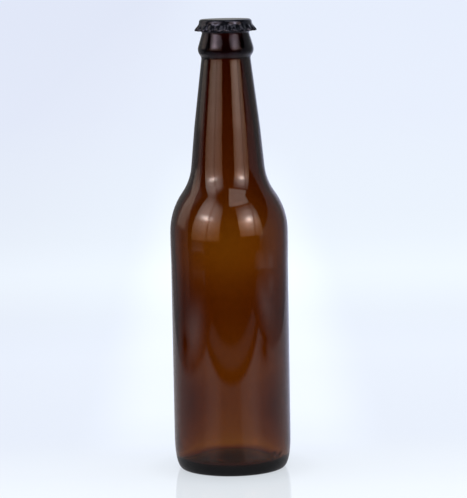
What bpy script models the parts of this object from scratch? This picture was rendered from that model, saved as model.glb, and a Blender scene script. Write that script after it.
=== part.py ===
"""Longneck glass beer bottle of 355 ml with an uncrimped crown cap resting on its mouth.

Units are metres and +Z is up. The bottle stands on its bearing ring at the origin, and its axis
is the Z axis. Run with: blender --background --python part.py
"""

import math

import bpy
from mathutils import Vector

OBJECT_NAME = "glass_beer_bottle"

# --- Bottle, outside -------------------------------------------------------------------------
BODY_RADIUS = 0.03050
SHOULDER_RADIUS = 0.03068
GLASS_HEIGHT = 0.2344

# The heel is a quarter of a superellipse between the bearing ring and the straight body.
BEARING_OUTER_RADIUS = 0.0260
BEARING_INNER_RADIUS = 0.0242
HEEL_HEIGHT = 0.0181
HEEL_POWER = 2.36
PUNT_DEPTH = 0.0032

# The label panel is the straight body, and a slightly wider contact band stands above it.
PANEL_TOP = 0.1080
BAND_BOTTOM = 0.1180
BAND_BLEND = 0.0300

# Corners where the straight lines of the outline would meet, each with its fillet.
SHOULDER_HEIGHT = 0.1360
SHOULDER_FILLET = 0.0357
NECK_FOOT_RADIUS = 0.01978
NECK_FOOT_HEIGHT = 0.1513
NECK_FOOT_FILLET = 0.0273
NECK_MIDDLE_RADIUS = 0.01705
NECK_MIDDLE_HEIGHT = 0.1795
NECK_MIDDLE_FILLET = 0.1485
NOTCH_RADIUS = 0.01267
NOTCH_HEIGHT = 0.2153
NOTCH_FILLET = 0.0026

# The finish: a bead to lift the bottle by, and above it the locking ring and the lip.
BEAD_RADIUS = 0.01486
BEAD_HEIGHT = 0.2188
BEAD_FILLET = 0.0050
THROAT_RADIUS = 0.01217
THROAT_HEIGHT = 0.2279
THROAT_FILLET = 0.0004
LOCKING_RING_RADIUS = 0.0130
LOCKING_RING_HEIGHT = 0.2294
LOCKING_RING_FILLET = 0.0008
LIP_FILLET = 0.0022
MOUTH_FILLET = 0.0012

# --- Bottle, inside --------------------------------------------------------------------------
BORE_RADIUS = 0.0080
BORE_FOOT_HEIGHT = 0.2160
BORE_FOOT_FILLET = 0.0200
INNER_NECK_RADIUS = 0.0138
INNER_NECK_HEIGHT = 0.1800
INNER_NECK_FILLET = 0.1200
INNER_FOOT_RADIUS = 0.0169
INNER_FOOT_HEIGHT = 0.1510
INNER_FOOT_FILLET = 0.0300
BODY_WALL = 0.00225
INNER_SHOULDER_HEIGHT = 0.1345
INNER_SHOULDER_FILLET = 0.0335
FLOOR_EDGE_HEIGHT = 0.0050
FLOOR_EDGE_FILLET = 0.0042
FLOOR_CENTRE_HEIGHT = 0.0080

# --- Crown cap -------------------------------------------------------------------------------
CROWN_STEEL = 0.00025
CROWN_HEIGHT = 0.0060
SEAT_GAP = 0.00035
CROWN_TOP_RADIUS = 0.01345
CROWN_TOP_FILLET = 0.0015
SKIRT_BEND_RADIUS = 0.01385
SKIRT_BEND_DROP = 0.0026
SKIRT_BEND_FILLET = 0.0030
RIM_RADIUS = 0.01610
RIM_BAND = 0.0007
FLUTE_COUNT = 21
FLUTE_DEPTH = 0.0014
FLUTE_START_DROP = 0.0014

# --- Facets ----------------------------------------------------------------------------------
BOTTLE_FACETS = 56
FACETS_A_FLUTE = 6
HEEL_RINGS = 7
DOME_RINGS = 4
FILLET_STEP = math.radians(18.0)
STRAIGHT_TURN = math.radians(2.0)
WELD_DISTANCE = 1.0e-6
SMOOTH_ANGLE = math.radians(35.0)

# --- Finishes: linear colour, roughness, metallic, transmission, refractive index -------------
AMBER_GLASS = ((0.32, 0.115, 0.012, 1.0), 0.03, 0.0, 1.0, 1.52)
BLACK_LACQUER = ((0.012, 0.012, 0.014, 1.0), 0.28, 0.0, 0.0, 1.50)


def clear_scene():
    """Remove every object that the file starts with."""
    for thing in list(bpy.data.objects):
        bpy.data.objects.remove(thing, do_unlink=True)


def make_collection(name):
    """Return a new collection that is linked to the scene."""
    collection = bpy.data.collections.new(name)
    bpy.context.scene.collection.children.link(collection)
    return collection


def make_material(name, finish):
    """Return a Principled material from one of the finishes named above."""
    colour, roughness, metallic, transmission, refraction = finish
    material = bpy.data.materials.new(name)
    material.use_nodes = True
    material.diffuse_color = colour
    shader = material.node_tree.nodes["Principled BSDF"]
    shader.inputs["Base Color"].default_value = colour
    shader.inputs["Roughness"].default_value = roughness
    shader.inputs["Metallic"].default_value = metallic
    shader.inputs["Transmission Weight"].default_value = transmission
    shader.inputs["IOR"].default_value = refraction
    return material


def fillet(before, corner, after, radius):
    """Return the points of the arc that rounds a corner between two straight lines."""
    back = (before - corner).normalized()
    ahead = (after - corner).normalized()
    turn = math.pi - back.angle(ahead)
    if radius <= 0.0 or turn < STRAIGHT_TURN:
        return [corner]
    reach = radius * math.tan(turn / 2.0)
    centre = corner + (back + ahead).normalized() * math.hypot(radius, reach)
    spoke = corner + back * reach - centre
    side = math.copysign(1.0, back.x * ahead.y - back.y * ahead.x)
    steps = max(2, math.ceil(turn / FILLET_STEP))
    points = []
    for step in range(steps + 1):
        angle = -side * turn * step / steps
        swing = Vector((spoke.x * math.cos(angle) - spoke.y * math.sin(angle),
                        spoke.x * math.sin(angle) + spoke.y * math.cos(angle)))
        points.append(centre + swing)
    return points


def rounded_line(corners):
    """Return (radius, height) points through corners given as (radius, height, fillet)."""
    places = [Vector(corner[:2]) for corner in corners]
    line = [places[0]]
    for index in range(1, len(corners) - 1):
        line += fillet(places[index - 1], places[index], places[index + 1], corners[index][2])
    line.append(places[-1])
    return line


def heel_line():
    """Return the heel's curve, from the foot of the straight body down to the bearing ring."""
    points = []
    for ring in range(1, HEEL_RINGS + 1):
        angle = math.pi / 2.0 * (1.0 - ring / HEEL_RINGS)
        swell = math.sin(angle) ** (2.0 / HEEL_POWER)
        drop = math.cos(angle) ** (2.0 / HEEL_POWER)
        radius = BEARING_OUTER_RADIUS + (BODY_RADIUS - BEARING_OUTER_RADIUS) * swell
        points.append(Vector((radius, HEEL_HEIGHT * (1.0 - drop))))
    return points


def dome_line(edge_radius, edge_height, centre_height):
    """Return a shallow dome from just inside its edge to the axis."""
    points = []
    for ring in range(1, DOME_RINGS + 1):
        reach = 1.0 - ring / DOME_RINGS
        height = centre_height + (edge_height - centre_height) * reach ** 2
        points.append(Vector((edge_radius * reach, height)))
    return points


def inside_line():
    """Return the inside of the bottle, from the middle of its floor up to the mouth."""
    inner_radius = BODY_RADIUS - BODY_WALL
    floor_edge = inner_radius - FLOOR_EDGE_FILLET
    floor = dome_line(floor_edge, FLOOR_EDGE_HEIGHT, FLOOR_CENTRE_HEIGHT)
    wall = rounded_line([
        (floor_edge, FLOOR_EDGE_HEIGHT, 0.0),
        (inner_radius, FLOOR_EDGE_HEIGHT, FLOOR_EDGE_FILLET),
        (inner_radius, INNER_SHOULDER_HEIGHT, INNER_SHOULDER_FILLET),
        (INNER_FOOT_RADIUS, INNER_FOOT_HEIGHT, INNER_FOOT_FILLET),
        (INNER_NECK_RADIUS, INNER_NECK_HEIGHT, INNER_NECK_FILLET),
        (BORE_RADIUS, BORE_FOOT_HEIGHT, BORE_FOOT_FILLET),
        (BORE_RADIUS, GLASS_HEIGHT - MOUTH_FILLET, 0.0),
    ])
    return floor[::-1] + wall[1:]


def outside_line():
    """Return the outside of the bottle, from the mouth down to the straight body's foot."""
    return rounded_line([
        (BORE_RADIUS, GLASS_HEIGHT - MOUTH_FILLET, 0.0),
        (BORE_RADIUS, GLASS_HEIGHT, MOUTH_FILLET),
        (LOCKING_RING_RADIUS, GLASS_HEIGHT, LIP_FILLET),
        (LOCKING_RING_RADIUS, LOCKING_RING_HEIGHT, LOCKING_RING_FILLET),
        (THROAT_RADIUS, THROAT_HEIGHT, THROAT_FILLET),
        (BEAD_RADIUS, BEAD_HEIGHT, BEAD_FILLET),
        (NOTCH_RADIUS, NOTCH_HEIGHT, NOTCH_FILLET),
        (NECK_MIDDLE_RADIUS, NECK_MIDDLE_HEIGHT, NECK_MIDDLE_FILLET),
        (NECK_FOOT_RADIUS, NECK_FOOT_HEIGHT, NECK_FOOT_FILLET),
        (SHOULDER_RADIUS, SHOULDER_HEIGHT, SHOULDER_FILLET),
        (SHOULDER_RADIUS, BAND_BOTTOM, BAND_BLEND),
        (BODY_RADIUS, PANEL_TOP, BAND_BLEND),
        (BODY_RADIUS, HEEL_HEIGHT, 0.0),
    ])


def base_line():
    """Return the flat bearing ring and the shallow push-up inside it."""
    ring = [Vector((BEARING_INNER_RADIUS, 0.0))]
    return ring + dome_line(BEARING_INNER_RADIUS, 0.0, PUNT_DEPTH)


def crown_line():
    """Return the outside of the crown over its ridges, from the middle of the top to the rim."""
    top = GLASS_HEIGHT + SEAT_GAP + CROWN_STEEL
    rim = top - CROWN_HEIGHT
    return rounded_line([
        (0.0, top, 0.0),
        (CROWN_TOP_RADIUS, top, CROWN_TOP_FILLET),
        (SKIRT_BEND_RADIUS, top - SKIRT_BEND_DROP, SKIRT_BEND_FILLET),
        (RIM_RADIUS, rim + RIM_BAND, 0.0),
        (RIM_RADIUS, rim, 0.0),
    ])


def turned_object(name, line, facets, collection):
    """Turn a line of (radius, height) points round the Z axis into an object."""
    mesh = bpy.data.meshes.new(name)
    edges = [(index, index + 1) for index in range(len(line) - 1)]
    mesh.from_pydata([(point.x, 0.0, point.y) for point in line], edges, [])
    turned = bpy.data.objects.new(name, mesh)
    collection.objects.link(turned)
    screw = turned.modifiers.new("Turn", "SCREW")
    screw.axis = "Z"
    screw.angle = 2.0 * math.pi
    screw.steps = facets
    screw.render_steps = facets
    screw.use_merge_vertices = True
    screw.merge_threshold = WELD_DISTANCE
    bpy.context.view_layer.objects.active = turned
    bpy.ops.object.modifier_apply(modifier=screw.name)
    return turned


def finish_object(thing, material):
    """Give an object its material and round shading with crisp edges."""
    thing.data.materials.append(material)
    thing.data.shade_smooth()
    thing.data.set_sharp_from_angle(angle=SMOOTH_ANGLE)


def make_bottle(collection):
    """Build the glass: one open-mouthed hollow solid of revolution."""
    line = inside_line() + outside_line()[1:] + heel_line() + base_line()
    bottle = turned_object("bottle", line, BOTTLE_FACETS, collection)
    finish_object(bottle, make_material("amber_glass", AMBER_GLASS))
    return bottle


def flute_skirt(crown, top):
    """Press the flutes into the crown's skirt, deeper towards the rim."""
    start = top - FLUTE_START_DROP
    rim = top - CROWN_HEIGHT
    for vertex in crown.data.vertices:
        place = vertex.co
        if place.z >= start:
            continue
        angle = math.atan2(place.y, place.x)
        depth = FLUTE_DEPTH * (start - place.z) / (start - rim)
        radius = math.hypot(place.x, place.y)
        shrunk = radius - depth * (1.0 - math.cos(FLUTE_COUNT * angle)) / 2.0
        place.x *= shrunk / radius
        place.y *= shrunk / radius


def make_crown(collection):
    """Build the crown cap as it comes from the press: flared, fluted and not yet crimped."""
    facets = FLUTE_COUNT * FACETS_A_FLUTE
    crown = turned_object("crown_cap", crown_line(), facets, collection)
    flute_skirt(crown, GLASS_HEIGHT + SEAT_GAP + CROWN_STEEL)
    solidify = crown.modifiers.new("Steel", "SOLIDIFY")
    solidify.thickness = CROWN_STEEL
    solidify.offset = -1.0
    solidify.use_even_offset = True
    bpy.ops.object.modifier_apply(modifier=solidify.name)
    finish_object(crown, make_material("black_lacquered_steel", BLACK_LACQUER))
    return crown


def main():
    """Build the bottle and its cap."""
    clear_scene()
    collection = make_collection(OBJECT_NAME)
    make_bottle(collection)
    make_crown(collection)


main()
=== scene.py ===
"""Looks of a longneck beer bottle in amber glass with an uncrimped black crown on its mouth.

Units are metres and +Z is up. The bottle stands at the origin with its axis on Z, and the
studio's front, where the camera stands, is -Y. Azimuths turn from -Y towards +X.
"""

import logging
import math
from dataclasses import dataclass
from enum import Enum
from typing import Any, Callable, Optional, Sequence, Union

import bmesh
import bpy
from mathutils import Matrix, Vector


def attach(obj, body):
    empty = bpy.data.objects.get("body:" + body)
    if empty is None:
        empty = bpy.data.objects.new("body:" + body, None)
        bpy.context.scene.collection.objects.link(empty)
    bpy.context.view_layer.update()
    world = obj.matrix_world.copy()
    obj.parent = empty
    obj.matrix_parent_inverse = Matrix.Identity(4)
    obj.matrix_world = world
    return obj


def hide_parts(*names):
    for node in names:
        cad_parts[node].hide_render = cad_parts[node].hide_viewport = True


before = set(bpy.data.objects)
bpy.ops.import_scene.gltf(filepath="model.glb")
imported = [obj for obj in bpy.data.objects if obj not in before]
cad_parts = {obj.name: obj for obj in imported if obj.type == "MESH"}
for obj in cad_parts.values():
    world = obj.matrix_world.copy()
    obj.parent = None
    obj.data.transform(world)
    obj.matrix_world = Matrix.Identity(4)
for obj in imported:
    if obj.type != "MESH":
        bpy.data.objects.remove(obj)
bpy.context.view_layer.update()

LOG = logging.getLogger("bottle")
MM = 0.001
FULL_TURN = 2.0 * math.pi
AXIS = (0.0, 0.0, 1.0)
ORIGIN = (0.0, 0.0, 0.0)
# Points nearer than this are one point, and a point this near to an outline lies on it.
WELD_DISTANCE = 1.0e-6
HAIR = 3.0e-6
HEIGHT_DIGITS = 7
HALF_A_BOUNCE = 0.5

Tree = bpy.types.NodeTree
Shader = Union[float, tuple, bpy.types.Node, bpy.types.NodeSocket]


class Slot(Enum):
    """The material slots."""

    GLASS = "amber_glass"
    LACQUER = "black_lacquered_steel"


class CadNode(Enum):
    """The CAD nodes that the finely turned pieces stand for."""

    BOTTLE = "bottle"
    CROWN = "crown_cap"


# ---- Colour and node helpers ----


def linear(colour: str) -> tuple[float, float, float, float]:
    """Turn an sRGB hex value into linear red, green, blue and alpha.

    Args:
        colour: The value as "#RRGGBB".

    Returns:
        The linear colour with alpha 1.
    """
    channels = [int(colour[place:place + 2], 16) / 255.0 for place in (1, 3, 5)]
    toe = [value / 12.92 if value <= 0.04045 else ((value + 0.055) / 1.055) ** 2.4
           for value in channels]
    return (toe[0], toe[1], toe[2], 1.0)


def add_node(tree: Tree, kind: str, settings: Optional[dict[str, Any]] = None,
             inputs: Optional[dict[Union[str, int], Shader]] = None) -> bpy.types.Node:
    """Add a shader node, set it up and link what feeds it.

    Args:
        tree: The node tree that gets the node.
        kind: The node's type, without the "ShaderNode" that all of them start with.
        settings: Values for the node's own properties.
        inputs: What each input gets, by name or place: a value, a node or an output.

    Returns:
        The new node.
    """
    node = tree.nodes.new("ShaderNode" + kind)
    for name, value in (settings or {}).items():
        setattr(node, name, value)
    for name, value in (inputs or {}).items():
        if isinstance(value, bpy.types.Node):
            tree.links.new(value.outputs[0], node.inputs[name])
        elif isinstance(value, bpy.types.NodeSocket):
            tree.links.new(value, node.inputs[name])
        else:
            node.inputs[name].default_value = value
    return node


def calculate(tree: Tree, operation: str, *values: Shader) -> bpy.types.Node:
    """Add a math node that works on its values in order."""
    return add_node(tree, "Math", {"operation": operation}, dict(enumerate(values)))


def remap(tree: Tree, feed: Shader, low: float, high: float,
          start: Shader = 0.0, end: Shader = 1.0, soft: bool = False) -> bpy.types.Node:
    """Add a change of level along a value, which stays level past both ends.

    Args:
        tree: The node tree that gets the change.
        feed: The value that is read.
        low: The value where the change begins.
        high: The value where it ends.
        start: The level at the low value and below it.
        end: The level at the high value and above it.
        soft: Whether it eases in and out.

    Returns:
        The node that gives the level.
    """
    return add_node(tree, "MapRange", {"interpolation_type": "SMOOTHSTEP" if soft else "LINEAR"},
                    {0: feed, 1: low, 2: high, 3: start, 4: end})


def blend(tree: Tree, share: Shader, first: Shader, second: Shader,
          way: str = "MIX") -> bpy.types.NodeSocket:
    """Add a mix of two colours and return its colour output.

    Args:
        tree: The node tree that gets the nodes.
        share: How much of the second there is.
        first: The first colour.
        second: The second colour.
        way: How they are blended.

    Returns:
        The mixed colour.
    """
    node = add_node(tree, "Mix", {"data_type": "RGBA", "blend_type": way}, {
        "Factor": share, 6: first, 7: second})
    return node.outputs[2]


def ramp(tree: Tree, feed: Shader,
         stops: Sequence[tuple[float, Union[str, float]]]) -> bpy.types.Node:
    """Add a colour ramp over a range of values.

    Args:
        tree: The node tree that gets the ramp.
        feed: The value that the ramp reads.
        stops: Each stop as its value and its sRGB hex colour or its light level, in
            rising order.

    Returns:
        The ramp node.
    """
    low, high = stops[0][0], stops[-1][0]
    node = add_node(tree, "ValToRGB", {}, {0: remap(tree, feed, low, high)})
    elements = node.color_ramp.elements
    elements.remove(elements[1])
    for index, (value, look) in enumerate(stops):
        place = (value - low) / (high - low)
        element = elements[0] if index == 0 else elements.new(place)
        element.position = place
        element.color = linear(look) if isinstance(look, str) else (look, look, look, 1.0)
    return node


def empty_material(name: str) -> bpy.types.Material:
    """Return a new material whose node tree holds only its output.

    Args:
        name: What the material is and how its surface was made.

    Returns:
        The material.
    """
    material = bpy.data.materials.new(name)
    material.use_nodes = True
    material.node_tree.nodes.clear()
    material.node_tree.nodes.new("ShaderNodeOutputMaterial")
    return material


def show(tree: Tree, shader: bpy.types.Node, way: str = "Surface") -> None:
    """Give a material's output its surface or its volume."""
    tree.links.new(shader.outputs[0], tree.nodes["Material Output"].inputs[way])


# ---- Outlines ----


@dataclass(frozen=True)
class Corner:
    """A corner of an outline, where two straight lines would meet, and its rounding."""

    radius: float
    height: float
    fillet: float = 0.0

    def place(self) -> Vector:
        """Return the corner as a (radius, height) point."""
        return Vector((self.radius, self.height))


@dataclass(frozen=True)
class Outline:
    """Draws the half section of a turned piece from straight lines and rounded corners."""

    arc_step: float = math.radians(5.0)
    straight_turn: float = math.radians(0.5)
    longest_step: float = 3.0 * MM

    def fillet(self, before: Vector, corner: Vector, after: Vector, radius: float) -> list[Vector]:
        """Round one corner with an arc.

        Args:
            before: The corner before it.
            corner: The corner itself.
            after: The corner after it.
            radius: The arc's radius.

        Returns:
            The arc's points, or the corner alone where there is nothing to round.
        """
        back = (before - corner).normalized()
        ahead = (after - corner).normalized()
        turn = math.pi - back.angle(ahead)
        if radius <= 0.0 or turn < self.straight_turn:
            return [corner]
        reach = radius * math.tan(turn / 2.0)
        centre = corner + (back + ahead).normalized() * math.hypot(radius, reach)
        spoke = corner + back * reach - centre
        side = math.copysign(1.0, back.x * ahead.y - back.y * ahead.x)
        steps = max(2, math.ceil(turn / self.arc_step),
                    math.ceil(turn * radius / self.longest_step))
        points = []
        for step in range(steps + 1):
            angle = -side * turn * step / steps
            points.append(centre + Matrix.Rotation(angle, 2) @ spoke)
        return points

    def divide(self, line: Sequence[Vector]) -> list[Vector]:
        """Put points on a line so that no step of it is longer than the longest step.

        Args:
            line: The line as it was drawn.

        Returns:
            The line with its added points.
        """
        points = [line[0]]
        for start, end in zip(line, line[1:]):
            parts = max(1, math.ceil((end - start).length / self.longest_step))
            points += [start.lerp(end, part / parts) for part in range(1, parts + 1)]
        return points

    def draw(self, corners: Sequence[Corner]) -> list[Vector]:
        """Draw a line through corners, rounded as each of them says.

        Args:
            corners: The corners in order. The first and last are the line's ends.

        Returns:
            The line's (radius, height) points.
        """
        places = [corner.place() for corner in corners]
        line = [places[0]]
        for index in range(1, len(corners) - 1):
            line += self.fillet(places[index - 1], places[index], places[index + 1],
                                corners[index].fillet)
        line.append(places[-1])
        return self.divide(line)

    def dome(self, edge_radius: float, edge_height: float, centre_height: float,
             rings: int) -> list[Vector]:
        """Draw a shallow dome from just inside its edge to the axis.

        Args:
            edge_radius: The radius of its edge.
            edge_height: The height of its edge.
            centre_height: Its height on the axis.
            rings: How many steps it is drawn in.

        Returns:
            Its (radius, height) points, without the edge's own.
        """
        points = []
        for ring in range(1, rings + 1):
            reach = 1.0 - ring / rings
            height = centre_height + (edge_height - centre_height) * reach ** 2
            points.append(Vector((edge_radius * reach, height)))
        return points


# ---- Modelling by hand ----


class Bench:
    """The steps at the modelling bench that every piece goes through."""

    @staticmethod
    def clear() -> None:
        """Leave edit mode and deselect everything."""
        if bpy.context.object and bpy.context.object.mode != "OBJECT":
            bpy.ops.object.mode_set(mode="OBJECT")
        bpy.ops.object.select_all(action="DESELECT")

    @staticmethod
    def draw(name: str, line: Sequence[Vector]) -> bpy.types.Object:
        """Draw a half section in the plane of X and Z, one point after the other.

        Args:
            name: The new piece's name.
            line: The (radius, height) points of the section.

        Returns:
            The new object, in edit mode with all of the line selected.
        """
        Bench.clear()
        bpy.ops.mesh.primitive_plane_add(size=MM, location=ORIGIN)
        piece = bpy.context.object
        piece.name = name
        piece.data.name = name
        bpy.ops.object.mode_set(mode="EDIT")
        bpy.ops.mesh.select_all(action="SELECT")
        bpy.ops.mesh.merge(type="CENTER")
        bpy.ops.transform.translate(value=(line[0].x, 0.0, line[0].y))
        for start, end in zip(line, line[1:]):
            step = end - start
            bpy.ops.mesh.extrude_vertices_move(
                TRANSFORM_OT_translate={"value": (step.x, 0.0, step.y)})
        bpy.ops.mesh.select_all(action="SELECT")
        return piece

    @staticmethod
    def turn(steps: int, angle: float = FULL_TURN) -> None:
        """Spin the selected line round the axis and weld the seam and the poles."""
        bpy.ops.mesh.spin(steps=steps, angle=angle, center=ORIGIN, axis=AXIS)
        Bench.weld()

    @staticmethod
    def weld() -> None:
        """Merge doubles over the whole mesh."""
        bpy.ops.mesh.select_all(action="SELECT")
        bpy.ops.mesh.remove_doubles(threshold=WELD_DISTANCE)

    @staticmethod
    def select(piece: bpy.types.Object, wanted: Callable[[Vector], bool]) -> int:
        """Select the vertices that lie where they are wanted.

        Args:
            piece: The object in edit mode.
            wanted: Says of a place whether its vertex is selected.

        Returns:
            How many vertices are selected.
        """
        bpy.ops.mesh.select_all(action="DESELECT")
        bpy.ops.mesh.select_mode(type="VERT")
        mesh = bmesh.from_edit_mesh(piece.data)
        count = 0
        for vertex in mesh.verts:
            if wanted(vertex.co):
                vertex.select = True
                count += 1
        mesh.select_flush_mode()
        bmesh.update_edit_mesh(piece.data)
        return count

    @staticmethod
    def face_out() -> None:
        """Turn every face of a closed piece outwards."""
        bpy.ops.mesh.select_all(action="SELECT")
        bpy.ops.mesh.normals_make_consistent(inside=False)

    @staticmethod
    def finish(piece: bpy.types.Object, smooth_angle: float) -> None:
        """Leave edit mode and shade the piece smooth up to an angle between faces.

        Args:
            piece: The piece that is finished.
            smooth_angle: The angle in radians.
        """
        Bench.clear()
        piece.select_set(True)
        bpy.context.view_layer.objects.active = piece
        bpy.ops.object.shade_smooth_by_angle(angle=smooth_angle)
        Bench.clear()

    @staticmethod
    def apply(piece: bpy.types.Object, modifier: bpy.types.Modifier) -> None:
        """Apply one modifier to its piece."""
        bpy.context.view_layer.objects.active = piece
        bpy.ops.object.modifier_apply(modifier=modifier.name)


# ---- Finishes ----


@dataclass(frozen=True)
class Grain:
    """An uneven pattern in a surface: its size, its finer octaves and how strong they are."""

    size: float
    detail: float
    strength: float = 0.5

    def add(self, tree: Tree, place: Shader) -> bpy.types.Node:
        """Add the pattern at a place in the piece.

        Args:
            tree: The material's node tree.
            place: The place in the piece.

        Returns:
            The node that gives the pattern, from 0 to 1.
        """
        return add_node(tree, "TexNoise", {}, {
            "Vector": place, "Scale": 1.0 / self.size, "Detail": self.detail,
            "Roughness": self.strength})


def relief(tree: Tree, height: Shader, depth: float,
           below: Optional[bpy.types.Node] = None) -> bpy.types.Node:
    """Add fine relief to a surface, over coarser relief where there is some.

    Args:
        tree: The node tree that gets the relief.
        height: The pattern, from 0 to 1.
        depth: How deep it is, in metres.
        below: The coarser relief.

    Returns:
        The node that gives the surface's normal.
    """
    inputs = {"Strength": 1.0, "Distance": depth, "Height": height}
    if below is not None:
        inputs["Normal"] = below
    return add_node(tree, "Bump", {}, inputs)


@dataclass(frozen=True)
class AmberGlass:
    """Soda-lime glass blown in a mould, brown with iron and sulphur.

    It swallows blue within a millimetre and green before red, so the thin body glows orange
    brown and the thick base looks black. Only its outer skin shows white light. The tin oxide
    sprayed on at the hot end stops below the lip, whose bare glass is duller and bluer.
    """

    surface: str = "#FFFFFF"
    passes: str = "#E2CA5C"
    density: float = 1900.0
    refraction: float = 1.52
    # Faint smears from handling make it a little less smooth in places.
    smears: Grain = Grain(18.0 * MM, 6.0, 0.6)
    smear_range: tuple[float, float] = (0.35, 0.75)
    smoothest: float = 0.006
    roughest: float = 0.020
    # The mould leaves a slow ripple, and the quick chill of the skin a fine peel.
    ripple: Grain = Grain(16.0 * MM, 1.0)
    ripple_depth: float = 0.010 * MM
    peel: Grain = Grain(2.2 * MM, 2.0)
    peel_depth: float = 0.0006 * MM
    # The coat ends below the lip.
    coated_sheen: str = "#FFFFFF"
    bare_sheen: str = "#BCB6CB"
    bare_roughness: float = 0.13
    coat_fades: float = 215.0 * MM
    coat_ends: float = 217.5 * MM

    def build(self) -> bpy.types.Material:
        """Return the glass with its mould ripple, its fine peel and its faint smears.

        Returns:
            The glass.
        """
        material = empty_material("amber_soda_lime_glass_blown")
        tree = material.node_tree
        place = add_node(tree, "TexCoord").outputs["Object"]
        roughness = remap(tree, self.smears.add(tree, place), *self.smear_range,
                          self.smoothest, self.roughest)
        ripple = relief(tree, self.ripple.add(tree, place), self.ripple_depth)
        skin = relief(tree, self.peel.add(tree, place), self.peel_depth, ripple)
        height = add_node(tree, "SeparateXYZ", {}, {"Vector": place}).outputs["Z"]
        bare = remap(tree, height, self.coat_fades, self.coat_ends)
        sheen = blend(tree, bare, linear(self.coated_sheen), linear(self.bare_sheen))
        dullness = add_node(tree, "Mix", {}, {
            "Factor": bare, 2: roughness, 3: self.bare_roughness})
        shader = add_node(tree, "BsdfPrincipled", {}, {
            "Base Color": linear(self.surface), "Roughness": dullness, "IOR": self.refraction,
            "Transmission Weight": 1.0, "Specular Tint": sheen, "Normal": skin})
        depth = add_node(tree, "VolumeAbsorption", {}, {
            "Color": linear(self.passes), "Density": self.density})
        show(tree, shader)
        show(tree, depth, "Volume")
        return material


@dataclass(frozen=True)
class BlackLacquer:
    """Tinplate rolled with black lacquer and baked, then pressed into a crown.

    It is a deep blue-black gloss with a fine roller peel, which breaks each highlight on the
    flutes into sparks.
    """

    deep: str = "#08080B"
    worn: str = "#17171C"
    sheen: str = "#C6D0F4"
    refraction: float = 1.5
    smears: Grain = Grain(5.0 * MM, 5.0, 0.65)
    smear_range: tuple[float, float] = (0.3, 0.7)
    smoothest: float = 0.10
    roughest: float = 0.22
    peel: Grain = Grain(0.9 * MM, 3.0)
    peel_depth: float = 0.012 * MM

    def build(self) -> bpy.types.Material:
        """Return the lacquer with its peel and its handling smears.

        Returns:
            The lacquer.
        """
        material = empty_material("black_baked_lacquer_on_tinplate")
        tree = material.node_tree
        place = add_node(tree, "TexCoord").outputs["Object"]
        smears = self.smears.add(tree, place)
        roughness = remap(tree, smears, *self.smear_range, self.smoothest, self.roughest)
        colour = blend(tree, smears, linear(self.deep), linear(self.worn))
        skin = relief(tree, self.peel.add(tree, place), self.peel_depth)
        shader = add_node(tree, "BsdfPrincipled", {}, {
            "Base Color": colour, "Roughness": roughness, "IOR": self.refraction,
            "Specular Tint": linear(self.sheen), "Normal": skin})
        show(tree, shader)
        return material


@dataclass(frozen=True)
class ShearedSteel:
    """The crown's cut edge, bare tinplate with the burr of the punch left on it."""

    bright: str = "#C9CBD0"
    dull: str = "#8D9096"
    roughness: float = 0.32
    burr: Grain = Grain(0.5 * MM, 2.0)
    burr_depth: float = 0.02 * MM

    def build(self) -> bpy.types.Material:
        """Return the bare steel with fine burrs.

        Returns:
            The steel.
        """
        material = empty_material("tinplate_cut_edge")
        tree = material.node_tree
        place = add_node(tree, "TexCoord").outputs["Object"]
        burr = self.burr.add(tree, place)
        colour = blend(tree, burr, linear(self.dull), linear(self.bright))
        shader = add_node(tree, "BsdfPrincipled", {}, {
            "Base Color": colour, "Metallic": 1.0, "Roughness": self.roughness,
            "Normal": relief(tree, burr, self.burr_depth)})
        show(tree, shader)
        return material


# ---- The bottle ----


@dataclass(frozen=True)
class Gather:
    """A thicker place of the wall: its middle, its spread each way and how far it stands in.

    The angle and the width are in degrees round the axis, and the rest is in metres.
    """

    angle: float
    height: float
    width: float
    depth: float
    rise: float


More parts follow.
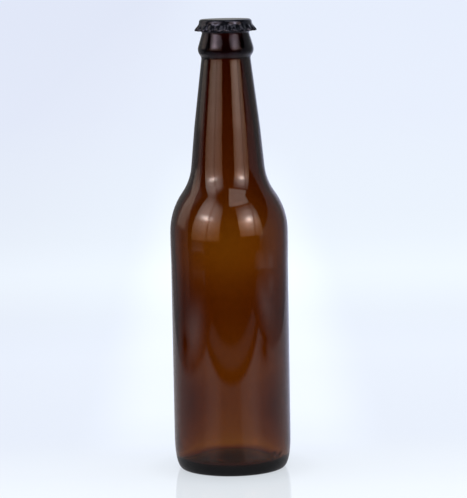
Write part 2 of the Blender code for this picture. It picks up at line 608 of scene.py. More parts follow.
@dataclass(frozen=True)
class GlassBottle:
    """A 355 ml longneck, open at the mouth under its crown and hollow down to its floor."""

    # Outside.
    body_radius: float = 30.50 * MM
    shoulder_radius: float = 30.68 * MM
    glass_height: float = 234.4 * MM
    bearing_outer: float = 26.0 * MM
    bearing_inner: float = 24.2 * MM
    heel_height: float = 18.1 * MM
    heel_power: float = 2.36
    punt_depth: float = 3.2 * MM
    panel_top: float = 108.0 * MM
    band_bottom: float = 118.0 * MM
    band_blend: float = 30.0 * MM
    shoulder: Corner = Corner(30.68 * MM, 136.0 * MM, 35.7 * MM)
    neck_foot: Corner = Corner(19.78 * MM, 151.3 * MM, 27.3 * MM)
    neck_middle: Corner = Corner(17.05 * MM, 179.5 * MM, 148.5 * MM)
    notch: Corner = Corner(12.67 * MM, 215.3 * MM, 2.6 * MM)
    bead: Corner = Corner(14.86 * MM, 218.8 * MM, 5.0 * MM)
    throat: Corner = Corner(12.17 * MM, 227.9 * MM, 0.4 * MM)
    locking_ring: Corner = Corner(13.0 * MM, 229.4 * MM, 0.8 * MM)
    lip_fillet: float = 2.2 * MM
    mouth_fillet: float = 1.2 * MM
    # Inside. The wall gathers in the lower body, where the parison stayed cooler.
    bore_radius: float = 8.0 * MM
    bore_foot: Corner = Corner(8.0 * MM, 221.0 * MM, 14.0 * MM)
    inner_neck: Corner = Corner(13.8 * MM, 180.0 * MM, 120.0 * MM)
    inner_foot: Corner = Corner(16.9 * MM, 151.0 * MM, 30.0 * MM)
    inner_shoulder: Corner = Corner(28.50 * MM, 134.5 * MM, 33.5 * MM)
    inner_band: Corner = Corner(28.50 * MM, 118.0 * MM, 60.0 * MM)
    inner_belly: Corner = Corner(27.65 * MM, 84.0 * MM, 90.0 * MM)
    inner_waist: Corner = Corner(28.02 * MM, 56.0 * MM, 60.0 * MM)
    inner_radius: float = 28.20 * MM
    floor_edge_radius: float = 24.9 * MM
    floor_edge_height: float = 5.0 * MM
    floor_edge_fillet: float = 3.1 * MM
    floor_centre_height: float = 8.0 * MM
    # Mould marks: the parting line on two sides and the grip pips low on the heel.
    seam_angles: tuple[float, float] = (-133.5, 46.5)
    seam_bottom: float = 14.0 * MM
    seam_top: float = 212.0 * MM
    seam_rise: float = 1.0022
    pips: tuple[tuple[float, float], ...] = (
        (-97.5, 8.0), (-96.0, 10.0), (-97.5, 5.5), (-79.5, 7.5), (-76.5, 8.5), (-73.5, 7.0),
        (-70.5, 8.5), (-67.5, 9.5), (-52.5, 9.5), (-48.0, 8.5), (-45.0, 10.0), (-36.0, 9.0),
        (-33.0, 10.5), (-120.0, 8.0), (-117.0, 9.0))
    mark_reach: float = 0.5
    pip_reach: float = 0.5 * MM
    pip_rise: float = 1.018
    # Uneven spots of the inner wall, where the soft glass gathered.
    gathers: tuple[Gather, ...] = (
        Gather(-37.0, 35.0 * MM, 35.0, 19.0 * MM, 1.3 * MM),
        Gather(-140.0, 37.0 * MM, 33.0, 20.0 * MM, 1.15 * MM),
        Gather(-93.0, 42.0 * MM, 62.0, 15.0 * MM, 0.36 * MM))
    gather_steps: int = 10
    # A point this far in from the straight skin belongs to the inner wall.
    inner_from: float = 1.6 * MM
    # Fineness.
    outline: Outline = Outline()
    facets: int = 240
    heel_rings: int = 24
    dome_rings: int = 12
    smooth_angle: float = math.radians(60.0)

    def heel(self) -> list[Vector]:
        """Draw the heel, from the foot of the straight body down to the bearing ring.

        Returns:
            The heel's (radius, height) points, from its top down.
        """
        power = 2.0 / self.heel_power
        reach = self.body_radius - self.bearing_outer
        points = []
        for ring in range(1, self.heel_rings + 1):
            angle = math.pi / 2.0 * (1.0 - ring / self.heel_rings)
            radius = self.bearing_outer + reach * math.sin(angle) ** power
            points.append(Vector((radius, self.heel_height * (1.0 - math.cos(angle) ** power))))
        return points

    def inside(self) -> list[Vector]:
        """Draw the inside, from the middle of the floor up to the mouth.

        Returns:
            The inside's (radius, height) points.
        """
        floor = self.outline.dome(self.floor_edge_radius, self.floor_edge_height,
                                  self.floor_centre_height, self.dome_rings)
        wall = self.outline.draw([
            Corner(self.floor_edge_radius, self.floor_edge_height),
            Corner(self.inner_radius, self.floor_edge_height, self.floor_edge_fillet),
            self.inner_waist,
            self.inner_belly,
            self.inner_band,
            self.inner_shoulder,
            self.inner_foot,
            self.inner_neck,
            self.bore_foot,
            Corner(self.bore_radius, self.glass_height - self.mouth_fillet),
        ])
        return floor[::-1] + wall

    def outside(self) -> list[Vector]:
        """Draw the outside, from the mouth down to the bearing ring and in under the base.

        Returns:
            The outside's (radius, height) points.
        """
        wall = self.outline.draw([
            Corner(self.bore_radius, self.glass_height - self.mouth_fillet),
            Corner(self.bore_radius, self.glass_height, self.mouth_fillet),
            Corner(self.locking_ring.radius, self.glass_height, self.lip_fillet),
            self.locking_ring,
            self.throat,
            self.bead,
            self.notch,
            self.neck_middle,
            self.neck_foot,
            self.shoulder,
            Corner(self.shoulder_radius, self.band_bottom, self.band_blend),
            Corner(self.body_radius, self.panel_top, self.band_blend),
            Corner(self.body_radius, self.heel_height),
        ])
        ring = [Vector((self.bearing_inner, 0.0))]
        punt = self.outline.dome(self.bearing_inner, 0.0, self.punt_depth, self.dome_rings)
        return wall + self.heel() + ring + punt

    def on_skin(self, place: Vector, skin: Sequence[Vector]) -> bool:
        """Say whether a place is one of the outside's own points.

        Args:
            place: The place.
            skin: The outside's (radius, height) points.

        Returns:
            Whether it is on the skin.
        """
        reach = math.hypot(place.x, place.y)
        return any(abs(place.z - point.y) < HAIR and abs(reach - point.x) < HAIR
                   for point in skin)

    def is_seam(self, place: Vector) -> bool:
        """Say whether a place lies along the mould's parting line.

        Args:
            place: The place.

        Returns:
            Whether the line runs there.
        """
        angle = math.degrees(math.atan2(place.y, place.x))
        return (self.seam_bottom < place.z < self.seam_top
                and min(abs(angle - seam) for seam in self.seam_angles) < self.mark_reach)

    def is_pip(self, place: Vector) -> bool:
        """Say whether a place lies at one of the grip pips on the heel.

        Args:
            place: The place.

        Returns:
            Whether a pip is there.
        """
        angle = math.degrees(math.atan2(place.y, place.x))
        return any(abs(angle - pip) < self.mark_reach
                   and abs(place.z - height * MM) < self.pip_reach
                   for pip, height in self.pips)

    def mark(self, piece: bpy.types.Object) -> None:
        """Raise the parting line and the pips by a hair from the skin.

        Args:
            piece: The bottle in edit mode.
        """
        skin = self.outside()
        for is_marked, rise in ((self.is_seam, self.seam_rise), (self.is_pip, self.pip_rise)):
            Bench.select(piece, lambda place: is_marked(place) and self.on_skin(place, skin))
            bpy.ops.transform.resize(value=(rise, rise, 1.0), center_override=ORIGIN)

    def swell(self, piece: bpy.types.Object, gather: Gather) -> None:
        """Move one spot of the inner wall towards the axis, most at its middle.

        Args:
            piece: The bottle in edit mode.
            gather: The spot.
        """
        inner = self.body_radius - self.inner_from
        push = 1.0 - gather.rise / self.gather_steps / inner

        def is_near(place: Vector, share: float) -> bool:
            """Say whether a place of the inner wall lies within a share of the spot.

            Args:
                place: The place.
                share: How much of the spot's reach counts.

            Returns:
                Whether it lies within it.
            """
            if math.hypot(place.x, place.y) > inner or place.z < self.floor_centre_height:
                return False
            aside = (math.degrees(math.atan2(place.y, place.x)) - gather.angle) / gather.width
            above = (place.z - gather.height) / gather.depth
            return aside * aside + above * above < share * share

        for step in range(1, self.gather_steps + 1):
            share = step / self.gather_steps
            Bench.select(piece, lambda place: is_near(place, share))
            bpy.ops.transform.resize(value=(push, push, 1.0), center_override=ORIGIN)

    def blow(self) -> bpy.types.Object:
        """Turn the whole outline into one closed wall of glass.

        Returns:
            The undressed bottle.
        """
        piece = Bench.draw("amber_bottle", self.inside() + self.outside()[1:])
        Bench.turn(self.facets)
        for gather in self.gathers:
            self.swell(piece, gather)
        self.mark(piece)
        Bench.face_out()
        Bench.finish(piece, self.smooth_angle)
        return piece

    def build(self) -> bpy.types.Object:
        """Make the bottle, dress it and let it stand for its CAD node.

        Returns:
            The bottle.
        """
        piece = self.blow()
        piece.data.materials.clear()
        piece.data.materials.append(AmberGlass().build())
        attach(piece, "root")
        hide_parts(CadNode.BOTTLE.value)
        return piece


# ---- The crown ----


@dataclass(frozen=True)
class CrownCap:
    """A crown as it comes from the press: flared, fluted and not yet crimped."""

    steel: float = 0.25 * MM
    height: float = 6.0 * MM
    top: float = 235.0 * MM
    top_radius: float = 13.45 * MM
    top_fillet: float = 1.5 * MM
    bend: Corner = Corner(13.85 * MM, 232.4 * MM, 3.0 * MM)
    rim_radius: float = 16.10 * MM
    rim_band: float = 0.7 * MM
    flutes: int = 21
    flute_depth: float = 1.4 * MM
    flute_start: float = 1.4 * MM
    flute_growth: float = 1.5
    columns: int = 24
    column_reach: float = 1.0 / 3.0
    outline: Outline = Outline(arc_step=math.radians(9.0), longest_step=0.7 * MM)
    smooth_angle: float = math.radians(50.0)

    def section(self) -> list[Vector]:
        """Draw the crown over a ridge, from the middle of the top to the rim.

        Returns:
            The crown's (radius, height) points.
        """
        rim = self.top - self.height
        return self.outline.draw([
            Corner(0.0, self.top),
            Corner(self.top_radius, self.top, self.top_fillet),
            self.bend,
            Corner(self.rim_radius, rim + self.rim_band),
            Corner(self.rim_radius, rim),
        ])

    def press_flute(self, piece: bpy.types.Object) -> None:
        """Press one flute into its sector, deeper towards the rim and between the ridges.

        Args:
            piece: The crown's sector in edit mode.
        """
        start = self.top - self.flute_start
        rim = self.top - self.height
        sector = FULL_TURN / self.flutes
        heights = sorted({round(vertex.co.z, HEIGHT_DIGITS) for vertex in
                          bmesh.from_edit_mesh(piece.data).verts if vertex.co.z < start})
        for height in heights:
            share = (start - height) / (start - rim)
            depth = self.flute_depth * share ** self.flute_growth
            for column in range(1, self.columns):
                angle = -sector * column / self.columns
                press = depth * (1.0 - math.cos(self.flutes * angle)) / 2.0
                self.press_point(piece, height, angle, press)

    def press_point(self, piece: bpy.types.Object, height: float, angle: float,
                    press: float) -> None:
        """Move one point of the sector straight towards the axis.

        Args:
            piece: The crown's sector in edit mode.
            height: The point's height.
            angle: Its angle round the axis.
            press: How far it moves.
        """
        reach = self.column_reach * FULL_TURN / self.flutes / self.columns
        Bench.select(piece, lambda place: abs(place.z - height) < WELD_DISTANCE
                     and abs(math.atan2(place.y, place.x) - angle) < reach)
        bpy.ops.transform.translate(
            value=(-press * math.cos(angle), -press * math.sin(angle), 0.0))

    def press(self) -> bpy.types.Object:
        """Press the shell: one fluted sector, copied round, then given the steel's gauge.

        Returns:
            The crown in lacquer, with a bare cut edge.
        """
        piece = Bench.draw("fluted_crown", self.section())
        Bench.turn(self.columns, FULL_TURN / self.flutes)
        self.press_flute(piece)
        bpy.ops.mesh.select_all(action="SELECT")
        bpy.ops.mesh.spin(steps=self.flutes, angle=FULL_TURN, center=ORIGIN, axis=AXIS,
                          dupli=True)
        Bench.weld()
        Bench.face_out()
        Bench.clear()
        gauge = piece.modifiers.new("Gauge", "SOLIDIFY")
        gauge.thickness = self.steel
        gauge.offset = -1.0
        gauge.use_even_offset = True
        gauge.material_offset_rim = 1
        piece.data.materials.clear()
        piece.data.materials.append(BlackLacquer().build())
        piece.data.materials.append(ShearedSteel().build())
        Bench.apply(piece, gauge)
        Bench.finish(piece, self.smooth_angle)
        return piece

    def build(self) -> bpy.types.Object:
        """Make the crown, dress it and let it stand for its CAD node.

        Returns:
            The crown.
        """
        piece = self.press()
        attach(piece, "root")
        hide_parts(CadNode.CROWN.value)
        return piece


# ---- The studio ----


@dataclass(frozen=True)
class Spot:
    """A soft round patch of light or shade: its middle, its spread each way and its level.

    A lamp's glow behind a cloth is given in degrees and a painted spot of light or shade on the
    ground in metres.
    """

    across: float
    along: float
    width: float
    depth: float
    level: float

    def add(self, tree: Tree, x: Shader, y: Shader) -> bpy.types.Node:
        """Add the spot's light, strongest at its middle.

        Args:
            tree: The node tree that gets the spot.
            x: The place or direction across.
            y: The place or direction along or up.

        Returns:
            The node that gives the light.
        """
        total: Shader = 0.0
        for feed, middle, spread in ((x, self.across, self.width), (y, self.along, self.depth)):
            share = calculate(tree, "DIVIDE", calculate(tree, "SUBTRACT", feed, middle), spread)
            total = calculate(tree, "MULTIPLY_ADD", share, share, total)
        light = calculate(tree, "EXPONENT", calculate(tree, "MULTIPLY", total, -1.0))
        return calculate(tree, "MULTIPLY", light, self.level)


@dataclass(frozen=True)
class Panel:
    """A lit cloth or wall as the glass sees it, by its edges' directions in degrees.

    The left and right edges are given at the pivot elevation and the top edge at the middle
    of both, since every edge may lean.
    """

    left: float
    right: float
    bottom: float
    top: float
    low_level: float
    high_level: float
    left_lean: float = 0.0
    right_lean: float = 0.0
    top_lean: float = 0.0
    side_edge: float = 3.5
    bottom_edge: float = 2.0
    top_edge: float = 2.0
    seam: Optional[float] = None
    glows: tuple[Spot, ...] = ()
    cloth: str = "#F7FAFF"


@dataclass(frozen=True)
class Directions:
    """The two sockets that carry a direction's azimuth and elevation in degrees."""

    azimuth: bpy.types.NodeSocket
    elevation: bpy.types.NodeSocket


def is_studio_ray(tree: Tree) -> bpy.types.Node:
    """Tell light that the bottle mirrors from light that is seen straight or through it.

    The pale sweep is what shows behind the bottle from every side. What the glass mirrors is
    the rest of the studio. The floor's own mirror image is a singular ray and sees the sweep.

    Args:
        tree: The tree that gets the test.

    Returns:
        A node that gives 1 for mirrored light.
    """
    path = add_node(tree, "LightPath")
    mirrored = calculate(tree, "GREATER_THAN", path.outputs["Glossy Depth"], HALF_A_BOUNCE)
    plain = calculate(tree, "SUBTRACT", 1.0, path.outputs["Is Singular Ray"])
    return calculate(tree, "MULTIPLY", mirrored, plain)


@dataclass(frozen=True)
class Studio:
    """The lights round the bottle: two softboxes in front, a ceiling light and pale walls."""

    sweep: str = "#EAF0FB"
    pivot: float = 20.0
    walls: tuple[tuple[float, float | str], ...] = (
        (-180.0, 0.36), (-166.0, 0.23), (-96.0, 0.23), (-86.0, 0.008), (143.0, 0.008),
        (151.0, "#C8CBE2"), (168.0, "#D0D3EA"), (180.0, 0.36))
    seam_core: float = 0.8
    seam_width: float = 2.2
    seam_level: float = 0.35
    seam_lean: float = 0.1
    # From here up every panel has its high level.
    level_height: float = 30.0
    panels: tuple[Panel, ...] = (
        # The left softbox, its warm skirt, and the same on the right.
        Panel(-75.5, -16.7, -6.4, 57.0, 0.0, 0.13, left_lean=0.14, right_lean=0.10,
              top_lean=-0.47, side_edge=0.6, bottom_edge=0.5, top_edge=8.0, seam=-42.6,
              glows=(Spot(-49.6, 30.0, 28.9, 24.9, 3.1), Spot(-49.5, 23.4, 11.5, 3.7, 11.0)),
              cloth="#FFEEE6"),
        Panel(-75.5, -16.7, -6.2, 20.0, 0.62, 0.75, left_lean=0.14, right_lean=0.10,
              side_edge=0.6, bottom_edge=0.7, top_edge=6.0, seam=-42.6, cloth="#FFAE48"),
        Panel(19.0, 67.3, -3.0, 44.0, 0.32, 0.28, left_lean=-0.11, right_lean=-0.12,
              side_edge=0.6, bottom_edge=0.5, top_edge=1.6, seam=54.0,
              glows=(Spot(42.1, 22.0, 18.7, 14.6, 4.3), Spot(42.7, 21.4, 7.2, 3.8, 12.0)),
              cloth="#FFEEE6"),
        Panel(19.0, 67.3, -3.2, 22.0, 0.5, 1.4, left_lean=-0.11, right_lean=-0.12,
              side_edge=0.6, bottom_edge=0.7, top_edge=6.0, seam=54.0, cloth="#FFAE48"),
        # The ceiling cloth, a low strip on the left, the right wall and the window side.
        Panel(1.5, 60.0, 46.5, 89.0, 1.6, 1.6, side_edge=1.2, bottom_edge=1.2,
              cloth="#FFF3E8"),
        Panel(-78.0, -53.0, -9.4, -7.2, 0.34, 0.34, side_edge=6.0, bottom_edge=0.7,
              top_edge=0.8),
        Panel(62.0, 147.0, -80.0, 29.8, 0.25, 0.25, top_lean=0.77, side_edge=1.5, top_edge=1.0),
        Panel(-124.0, -97.0, 2.5, 38.0, 0.5, 1.1, bottom_edge=2.4, cloth="#FFE6D2"))

    def step(self, tree: Tree, feed: Shader, middle: float, edge: float,
             rises: bool) -> bpy.types.Node:
        """Add a soft step in a value.

        Args:
            tree: The tree that gets the step.
            feed: The value that is read.
            middle: Where the step stands.
            edge: Half its width.
            rises: Whether it goes up with the value.

        Returns:
            The step node, from 0 to 1.
        """
        low, high = (0.0, 1.0) if rises else (1.0, 0.0)
        return remap(tree, feed, middle - edge, middle + edge, low, high, soft=True)

    def lean(self, tree: Tree, feed: Shader, other: Shader, lean: float, pivot: float) -> Shader:
        """Tilt a scale by its share of the other, so that an edge on it leans.

        Args:
            tree: The node tree that gets the nodes.
            feed: The scale that is tilted.
            other: The scale across it.
            lean: How far it moves for each step of the other.
            pivot: Where on the other scale nothing moves.

        Returns:
            The tilted scale.
        """
        if lean == 0.0:
            return feed
        shift = calculate(tree, "MULTIPLY_ADD", other, -lean, lean * pivot)
        return calculate(tree, "ADD", feed, shift)

    def frame_seam(self, tree: Tree, where: Directions, azimuth: float) -> bpy.types.Node:
        """Add the dark upright seam where two cloths of a softbox meet.

        Args:
            tree: The node tree that gets the nodes.
            where: The direction that is looked up.
            azimuth: Where the seam crosses the pivot elevation.

        Returns:
            The node that gives the share of light it leaves.
        """
        along = self.lean(tree, where.azimuth, where.elevation, self.seam_lean, self.pivot)
        off = calculate(tree, "ABSOLUTE", calculate(tree, "SUBTRACT", along, azimuth))
        return remap(tree, off, self.seam_core, self.seam_width, self.seam_level, 1.0)

    def panel(self, tree: Tree, where: Directions, panel: Panel) -> bpy.types.Node:
        """Add one panel: its cloth, the lamps behind it and the seam of its frame.

        Args:
            tree: The world's node tree.
            where: The direction that is looked up.
            panel: What stands there.

        Returns:
            The background node with the panel's light.
        """
        middle = (panel.left + panel.right) / 2.0
        left = self.lean(tree, where.azimuth, where.elevation, panel.left_lean, self.pivot)
        right = self.lean(tree, where.azimuth, where.elevation, panel.right_lean, self.pivot)
        height = self.lean(tree, where.elevation, where.azimuth, panel.top_lean, middle)
        light = remap(tree, where.elevation, panel.bottom, self.level_height,
                      panel.low_level, panel.high_level)
        for glow in panel.glows:
            light = calculate(tree, "ADD", light,
                              glow.add(tree, where.azimuth, where.elevation))
        shares = [
            self.step(tree, left, panel.left, panel.side_edge, True),
            self.step(tree, right, panel.right, panel.side_edge, False),
            self.step(tree, where.elevation, panel.bottom, panel.bottom_edge, True),
            self.step(tree, height, panel.top, panel.top_edge, False)]
        if panel.seam is not None:
            shares.append(self.frame_seam(tree, where, panel.seam))
        for share in shares:
            light = calculate(tree, "MULTIPLY", light, share)
        return add_node(tree, "Background", {}, {0: linear(panel.cloth), 1: light})

    def directions(self, tree: Tree) -> Directions:
        """Add the nodes that turn a direction into azimuth and elevation.

        Args:
            tree: The node tree that gets the nodes.

        Returns:
            Both in degrees.
        """
        ray = add_node(tree, "TexCoord").outputs["Generated"]
        split = add_node(tree, "SeparateXYZ", {}, {0: ray})
        front = calculate(tree, "MULTIPLY", split.outputs[1], -1.0)
        turn = calculate(tree, "ARCTAN2", split.outputs[0], front)
        azimuth = calculate(tree, "DEGREES", turn)
        elevation = calculate(tree, "DEGREES", calculate(tree, "ARCSINE", split.outputs[2]))
        return Directions(azimuth.outputs[0], elevation.outputs[0])

    def build(self) -> bpy.types.World:
        """Return the world with the sweep's plain light and the mirrored studio.

        Returns:
            The world.
        """
        world = bpy.data.worlds.new("studio")
        world.use_nodes = True
        tree = world.node_tree
        tree.nodes.clear()
        where = self.directions(tree)
        walls = ramp(tree, where.azimuth, self.walls)
        mirrored = add_node(tree, "Background", {}, {0: walls, 1: 1.0})
        for panel in self.panels:
            mirrored = add_node(tree, "AddShader", {}, {
                0: mirrored, 1: self.panel(tree, where, panel)})
        plain = add_node(tree, "Background", {}, {0: linear(self.sweep), 1: 1.0})
        both = add_node(tree, "MixShader", {}, {0: is_studio_ray(tree), 1: plain, 2: mirrored})
        out = tree.nodes.new("ShaderNodeOutputWorld")
        tree.links.new(both.outputs[0], out.inputs["Surface"])
        bpy.context.scene.world = world
        world.cycles.sampling_method = "NONE"
        return world


@dataclass(frozen=True)
class Floor:
    """The pale glossy table, which runs on as a seamless sweep."""

    size: float = 30.0
    drop: float = 0.1 * MM
    gloss: float = 0.185
    gloss_near: float = 0.28
    gloss_far: float = 0.42
    own_light: float = 0.7
    paint: str = "#FAFCFF"
    mirror: str = "#FFFFFF"
    # Painted light: the floor's glow is dimmed and tinted in grades across and along the table.
    across: tuple[tuple[float, str], ...] = (
        (-0.30, "#F6F5F8"), (-0.20, "#F9F8FA"), (-0.10, "#FDFDFE"), (0.0, "#FFFFFF"),
        (0.30, "#FFFFFF"))
    along: tuple[tuple[float, str], ...] = (
        (-0.30, "#F6FCFF"), (-0.07, "#F5FBFF"), (0.0, "#F3F9FF"), (0.08, "#ECF3FF"),
        (0.45, "#ECF3FE"), (0.70, "#F1F9FF"), (1.20, "#EEF6FF"), (2.50, "#EAF1FF"),
        (6.00, "#E8EFFE"), (8.00, "#E8EFFE"))
    # Painted light that rises and falls in bands along the table.
    painted_light_along: tuple[tuple[float, float], ...] = (
        (-0.30, 0.14), (-0.096, 0.13), (-0.06, 0.115), (-0.02, 0.07), (0.06, 0.02),
        (0.16, 0.015), (0.35, 0.04), (0.53, 0.01), (0.77, 0.055), (1.0, 0.01), (1.2, 0.0))
    # A painted pool of light on the floor beside the bottle.
    painted_pool_near: float = 0.044
    painted_pool_far: float = 0.092
    painted_pool_level: float = 0.20
    painted_pool_along: tuple[tuple[float, float], ...] = (
        (0.0, 0.0), (0.03, 0.15), (0.064, 0.6), (0.16, 1.0), (0.35, 0.87), (0.53, 0.8),
        (0.77, 0.85), (0.95, 0.7), (1.06, 0.62), (2.0, 0.0))
    # What the glass mirrors, painted as the floor's glow: the table's light by azimuth, and the
    # ground's past its edges.
    on_table: tuple[tuple[float, float], ...] = (
        (-180.0, 0.52), (-150.0, 0.54), (-130.0, 0.51), (-110.0, 0.40), (-70.0, 0.36),
        (-54.0, 0.37), (-44.0, 0.50), (-30.0, 0.52), (-22.0, 0.40), (-17.0, 0.30),
        (14.0, 0.29), (19.0, 0.48), (30.0, 0.56), (42.0, 0.64), (50.0, 0.53), (58.0, 0.44),
        (75.0, 0.43), (100.0, 0.49), (122.0, 0.56), (140.0, 0.76), (150.0, 0.90),
        (168.0, 0.90), (180.0, 0.52))
    past_table: tuple[tuple[float, float], ...] = (
        (-180.0, 0.36), (-166.0, 0.24), (-118.0, 0.25), (-102.0, 0.10), (-88.0, 0.16),
        (-80.0, 0.05), (-68.0, 0.01), (55.0, 0.01), (66.0, 0.09), (76.0, 0.20),
        (90.0, 0.25), (120.0, 0.24), (134.0, 0.30), (143.0, 0.55), (151.0, 0.66),
        (168.0, 0.70), (180.0, 0.36))
    table_tint: tuple[tuple[float, str], ...] = (
        (-180.0, "#F9F8FF"), (110.0, "#F9F8FF"), (145.0, "#DFE5FF"), (180.0, "#DFE5FF"))
    # Painted shade close round the bottle, darkest at its foot, in the floor's mirrored look.
    painted_shade_start: float = 0.034
    painted_mirror_shade_end: float = 0.078
    painted_mirror_shade_low: float = 0.27
    painted_mirror_shade_high: float = 1.2
    # A faint painted shadow on the floor round the bottle's foot.
    shade_end: float = 0.050
    shade_level: float = 0.95
    table_left: tuple[float, float] = (-0.355, -0.300)
    table_right: tuple[float, float] = (0.405, 0.445)
    front_edge: tuple[tuple[float, float], ...] = (
        (-0.46, 0.03), (-0.318, 0.03), (-0.302, 0.40), (-0.290, 1.0))
    front_face: tuple[tuple[float, float], ...] = (
        (-0.47, 0.0), (-0.448, 0.09), (-0.43, 0.16), (-0.39, 0.17), (-0.368, 0.13),
        (-0.350, 0.02), (-0.33, 0.0))
    table_end: float = -0.47
    open_from: float = 0.74
    open_full: float = 0.92
    open_left: float = -92.0
    open_right: float = 62.0
    # Painted spots of light and shade in the floor's mirrored look.
    painted_light_and_shade_patches: tuple[Spot, ...] = (
        Spot(-0.49, -0.15, 0.11, 0.16, 0.60), Spot(0.60, -0.22, 0.09, 0.20, 0.42),
        Spot(0.39, -0.17, 0.05, 0.06, -0.45), Spot(-0.44, 0.06, 0.05, 0.07, -0.20),
        Spot(0.73, -0.04, 0.045, 0.09, 0.24))

    def sweep_look(self, tree: Tree, x: Shader, y: Shader) -> bpy.types.Node:
        """Add the floor as the eye sees it: pale, with painted light that grades along and across
        it, a painted pool of light beside the bottle, a painted shadow round its foot and a mirror
        sheen.

        Args:
            tree: The floor's node tree.
            x: The place across the table.
            y: The place along it, away from the front.

        Returns:
            The shader of the look.
        """
        # Painted light grading the floor's colour across and along the table.
        tint = blend(tree, 1.0, ramp(tree, y, self.along), ramp(tree, x, self.across),
                     "MULTIPLY")
        # A painted pool of light beside the bottle, and painted bands of light along the table.
        aside = calculate(tree, "ABSOLUTE", x)
        beside = remap(tree, aside, self.painted_pool_near, self.painted_pool_far, self.painted_pool_level, 0.0,
                       soft=True)
        pool = calculate(tree, "MULTIPLY_ADD", beside, ramp(tree, y, self.painted_pool_along), 1.0)
        whole = calculate(tree, "ADD", pool, ramp(tree, y, self.painted_light_along))
        away = self.reach(tree, x, y)
        # Painted shadow: the floor's glow is dimmed close round the bottle's foot.
        shade = remap(tree, away, self.painted_shade_start, self.shade_end, self.shade_level, 1.0,
                      soft=True)
        light = calculate(tree, "MULTIPLY", whole, shade)
        glow = add_node(tree, "Emission", {}, {0: tint, 1: light})
        paint = add_node(tree, "BsdfDiffuse", {}, {0: linear(self.paint)})
        matt = add_node(tree, "MixShader", {}, {0: self.own_light, 1: paint, 2: glow})
        mirror = add_node(tree, "BsdfGlossy", {}, {
            "Color": linear(self.mirror), "Roughness": 0.0})
        sheen = remap(tree, away, self.gloss_near, self.gloss_far, self.gloss, 0.0, soft=True)
        return add_node(tree, "MixShader", {}, {0: sheen, 1: matt, 2: mirror})

    def reach(self, tree: Tree, x: Shader, y: Shader) -> bpy.types.Node:
        """Add the distance from the bottle's axis."""
        square = calculate(tree, "MULTIPLY_ADD", y, y, calculate(tree, "MULTIPLY", x, x))
        return calculate(tree, "SQRT", square)

    def azimuth(self, tree: Tree, x: Shader, y: Shader) -> bpy.types.Node:
        """Add the azimuth from the bottle's axis in degrees."""
        front = calculate(tree, "MULTIPLY", y, -1.0)
        return calculate(tree, "DEGREES", calculate(tree, "ARCTAN2", x, front))

    def mirrored_light(self, tree: Tree, x: Shader, y: Shader, azimuth: Shader) -> bpy.types.Node:
        """Add the light of the floor as the glass mirrors it.

        Args:
            tree: The floor's node tree.
            x: The place across the table.
            y: The place along it, away from the front.
            azimuth: The place's direction from the bottle.

        Returns:
            The light: the table and its front face, the ground past them, and the painted spots of
                light and shade.
        """
        left = remap(tree, x, *self.table_left, soft=True)
        right = remap(tree, x, *self.table_right, 1.0, 0.0, soft=True)
        inside = calculate(tree, "MULTIPLY", left, right)
        top = calculate(tree, "MULTIPLY", ramp(tree, azimuth, self.on_table),
                        ramp(tree, y, self.front_edge))
        table = calculate(tree, "ADD", top, ramp(tree, y, self.front_face))
        light = add_node(tree, "Mix", {}, {
            0: inside, 2: ramp(tree, azimuth, self.past_table), 3: table})
        for patch in self.painted_light_and_shade_patches:
            light = calculate(tree, "ADD", light, patch.add(tree, x, y))
        return calculate(tree, "MAXIMUM", light, 0.0)

    def open_air(self, tree: Tree, x: Shader, y: Shader, azimuth: Shader) -> bpy.types.Node:
        """Add how far the floor lets light pass: past the table's front and far off it.

        Args:
            tree: The node tree that gets the nodes.
            x: The place across.
            y: The place along.
            azimuth: The direction of the place in degrees.

        Returns:
            The node that gives 1 where the floor is open.
        """
        gone = calculate(tree, "LESS_THAN", y, self.table_end)
        far = remap(tree, self.reach(tree, x, y), self.open_from, self.open_full, soft=True)
        after = calculate(tree, "GREATER_THAN", azimuth, self.open_left)
        before = calculate(tree, "LESS_THAN", azimuth, self.open_right)
        wide = calculate(tree, "MULTIPLY", far, calculate(tree, "MULTIPLY", after, before))
        return calculate(tree, "MAXIMUM", gone, wide)

    def mirrored_look(self, tree: Tree, x: Shader, y: Shader) -> bpy.types.Node:
        """Add the floor as the glass mirrors it, with painted shade close in where the bottle
        stands over it.

        Args:
            tree: The node tree that gets the nodes.
            x: The place across.
            y: The place along.

        Returns:
            The floor's mirrored look.
        """
        azimuth = self.azimuth(tree, x, y)
        # Painted shade: the mirrored floor is dimmed close round the bottle.
        painted_mirror_shade = remap(tree, self.reach(tree, x, y), self.painted_shade_start, self.painted_mirror_shade_end,
                     self.painted_mirror_shade_low, self.painted_mirror_shade_high, soft=True)
        light = calculate(tree, "MINIMUM", self.mirrored_light(tree, x, y, azimuth), painted_mirror_shade)
        seen = add_node(tree, "Emission", {}, {
            0: ramp(tree, azimuth, self.table_tint), 1: light})
        return add_node(tree, "MixShader", {}, {
            0: self.open_air(tree, x, y, azimuth), 1: seen,
            2: add_node(tree, "BsdfTransparent")})

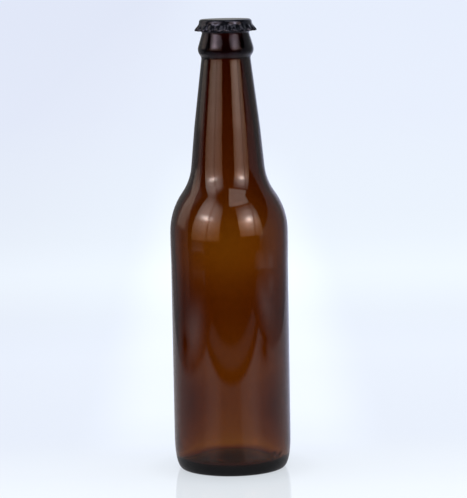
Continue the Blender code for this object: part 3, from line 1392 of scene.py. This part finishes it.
    def build(self) -> bpy.types.Object:
        """Lay the floor.

        Returns:
            The floor.
        """
        Bench.clear()
        bpy.ops.mesh.primitive_plane_add(size=self.size, location=(0.0, 0.0, -self.drop))
        floor = bpy.context.object
        floor.name = "table"
        bpy.ops.object.transform_apply(location=True, rotation=False, scale=False)
        material = empty_material("pale_table")
        tree = material.node_tree
        split = add_node(tree, "SeparateXYZ", {}, {
            0: add_node(tree, "TexCoord").outputs["Object"]})
        x, y = split.outputs[0], split.outputs[1]
        both = add_node(tree, "MixShader", {}, {
            0: is_studio_ray(tree), 1: self.sweep_look(tree, x, y),
            2: self.mirrored_look(tree, x, y)})
        show(tree, both)
        material.cycles.emission_sampling = "NONE"
        floor.data.materials.append(material)
        Bench.clear()
        return floor


@dataclass(frozen=True)
class StudioCamera:
    """The camera in front of the bottle, a little above its shoulder."""

    distance: float = 1.356116
    height: float = 0.286267
    pitch: float = 0.12546
    yaw: float = 0.0016
    roll: float = -0.01771
    lens: float = 189.36
    sensor: float = 36.0

    def build(self) -> bpy.types.Object:
        """Place the camera and make it the scene's.

        Returns:
            The camera.
        """
        data = bpy.data.cameras.new("camera")
        data.lens = self.lens
        data.sensor_width = self.sensor
        camera = bpy.data.objects.new("camera", data)
        bpy.context.scene.collection.objects.link(camera)
        forward = Vector((math.sin(self.yaw) * math.cos(self.pitch),
                          math.cos(self.yaw) * math.cos(self.pitch), -math.sin(self.pitch)))
        level = Vector((math.cos(self.yaw), -math.sin(self.yaw), 0.0))
        upright = level.cross(forward)
        right = level * math.cos(self.roll) + upright * math.sin(self.roll)
        up = upright * math.cos(self.roll) - level * math.sin(self.roll)
        place = Matrix.Translation((0.0, -self.distance, self.height))
        camera.matrix_world = place @ Matrix((right, up, -forward)).transposed().to_4x4()
        bpy.context.scene.camera = camera
        return camera


def main() -> None:
    """Build the studio and the pieces in order and report each of them."""
    logging.basicConfig(level=logging.INFO, format="%(message)s")
    bpy.context.scene.view_settings.view_transform = "Standard"
    StudioCamera().build()
    Studio().build()
    Floor().build()
    for maker in (GlassBottle(), CrownCap()):
        piece = maker.build()
        LOG.info("%s: %d faces", piece.name, len(piece.data.polygons))


if __name__ == "__main__":
    main()
